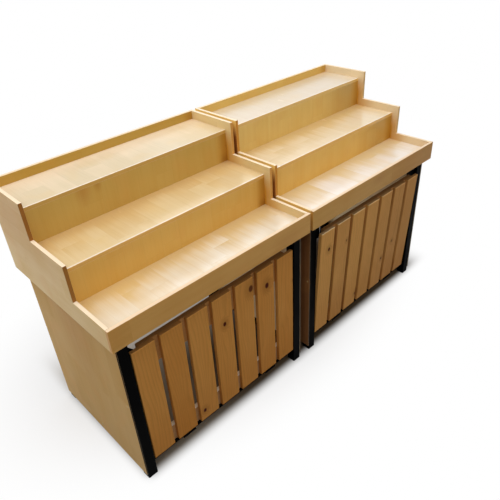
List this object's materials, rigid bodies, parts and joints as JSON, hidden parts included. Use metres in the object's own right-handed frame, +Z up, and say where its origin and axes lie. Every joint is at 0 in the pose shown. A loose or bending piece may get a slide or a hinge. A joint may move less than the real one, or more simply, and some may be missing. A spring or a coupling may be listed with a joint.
{
  "type": "candy display stand",
  "caption": "Stepped plywood candy display over black steel frames, side by side, with slatted front flaps that drop open on bottom hinges.",
  "frame": {"origin": "on the floor, under the middle of the whole stand's box", "axes": "+Z up, +X to the customer's right along the stand, -Y towards the customer"},
  "size_m": [2.018, 0.745, 1.15],
  "materials": {
    "varnished_plywood": "clear gloss",
    "pine_slats": "satin varnish",
    "black_steel": "satin",
    "hinge_steel": "satin",
    "screw_steel": "zinc plated",
    "foot_plastic": "matte"
  },
  "bodies": {
    "stand": {"bay1_left_end_panel": "varnished_plywood", "bay1_right_end_panel": "varnished_plywood", "bay1_front_apron": "varnished_plywood", "bay1_back_board": "varnished_plywood", "bay1_lower_shelf": "varnished_plywood", "bay1_lower_riser": "varnished_plywood", "bay1_middle_shelf": "varnished_plywood", "bay1_upper_riser": "varnished_plywood", "bay1_upper_shelf": "varnished_plywood", "bay1_shelf_cleats": "varnished_plywood", "bay1_front_left_leg": "black_steel", "bay1_front_right_leg": "black_steel", "bay1_rear_left_leg": "black_steel", "bay1_rear_right_leg": "black_steel", "bay1_top_cross_rails": "black_steel", "bay1_top_side_rails": "black_steel", "bay1_front_bottom_rail": "black_steel", "bay1_bottom_side_rails": "black_steel", "bay1_flap_stops": "black_steel", "bay1_left_side_panel": "varnished_plywood", "bay1_right_side_panel": "varnished_plywood", "bay1_panel_screws": "screw_steel", "bay1_foot_caps": "foot_plastic", "bay1_hinge_frame_leaves": "hinge_steel", "bay1_hinge_pins": "hinge_steel", "bay2_left_end_panel": "varnished_plywood", "bay2_right_end_panel": "varnished_plywood", "bay2_front_apron": "varnished_plywood", "bay2_back_board": "varnished_plywood", "bay2_lower_shelf": "varnished_plywood", "bay2_lower_riser": "varnished_plywood", "bay2_middle_shelf": "varnished_plywood", "bay2_upper_riser": "varnished_plywood", "bay2_upper_shelf": "varnished_plywood", "bay2_shelf_cleats": "varnished_plywood", "bay2_front_left_leg": "black_steel", "bay2_front_right_leg": "black_steel", "bay2_rear_left_leg": "black_steel", "bay2_rear_right_leg": "black_steel", "bay2_top_cross_rails": "black_steel", "bay2_top_side_rails": "black_steel", "bay2_front_bottom_rail": "black_steel", "bay2_bottom_side_rails": "black_steel", "bay2_flap_stops": "black_steel", "bay2_left_side_panel": "varnished_plywood", "bay2_right_side_panel": "varnished_plywood", "bay2_panel_screws": "screw_steel", "bay2_foot_caps": "foot_plastic", "bay2_hinge_frame_leaves": "hinge_steel", "bay2_hinge_pins": "hinge_steel"},
    "bay1_flap": {"bay1_flap_slats": "pine_slats", "bay1_flap_top_batten": "pine_slats", "bay1_flap_bottom_batten": "pine_slats", "bay1_slat_screws": "screw_steel", "bay1_hinge_flap_leaves": "hinge_steel"},
    "bay2_flap": {"bay2_flap_slats": "pine_slats", "bay2_flap_top_batten": "pine_slats", "bay2_flap_bottom_batten": "pine_slats", "bay2_slat_screws": "screw_steel", "bay2_hinge_flap_leaves": "hinge_steel"}
  },
  "joints": [
    {"name": "bay1_flap_hinge", "type": "hinge", "parent": "stand", "child": "bay1_flap", "pos_m": [-0.509, -0.3425, 0.0845], "axis": [1, 0, 0], "range_deg": [0, 95]},
    {"name": "bay2_flap_hinge", "type": "hinge", "parent": "stand", "child": "bay2_flap", "pos_m": [0.509, -0.3425, 0.0845], "axis": [1, 0, 0], "range_deg": [-2.5, 92.5]}
  ]
}
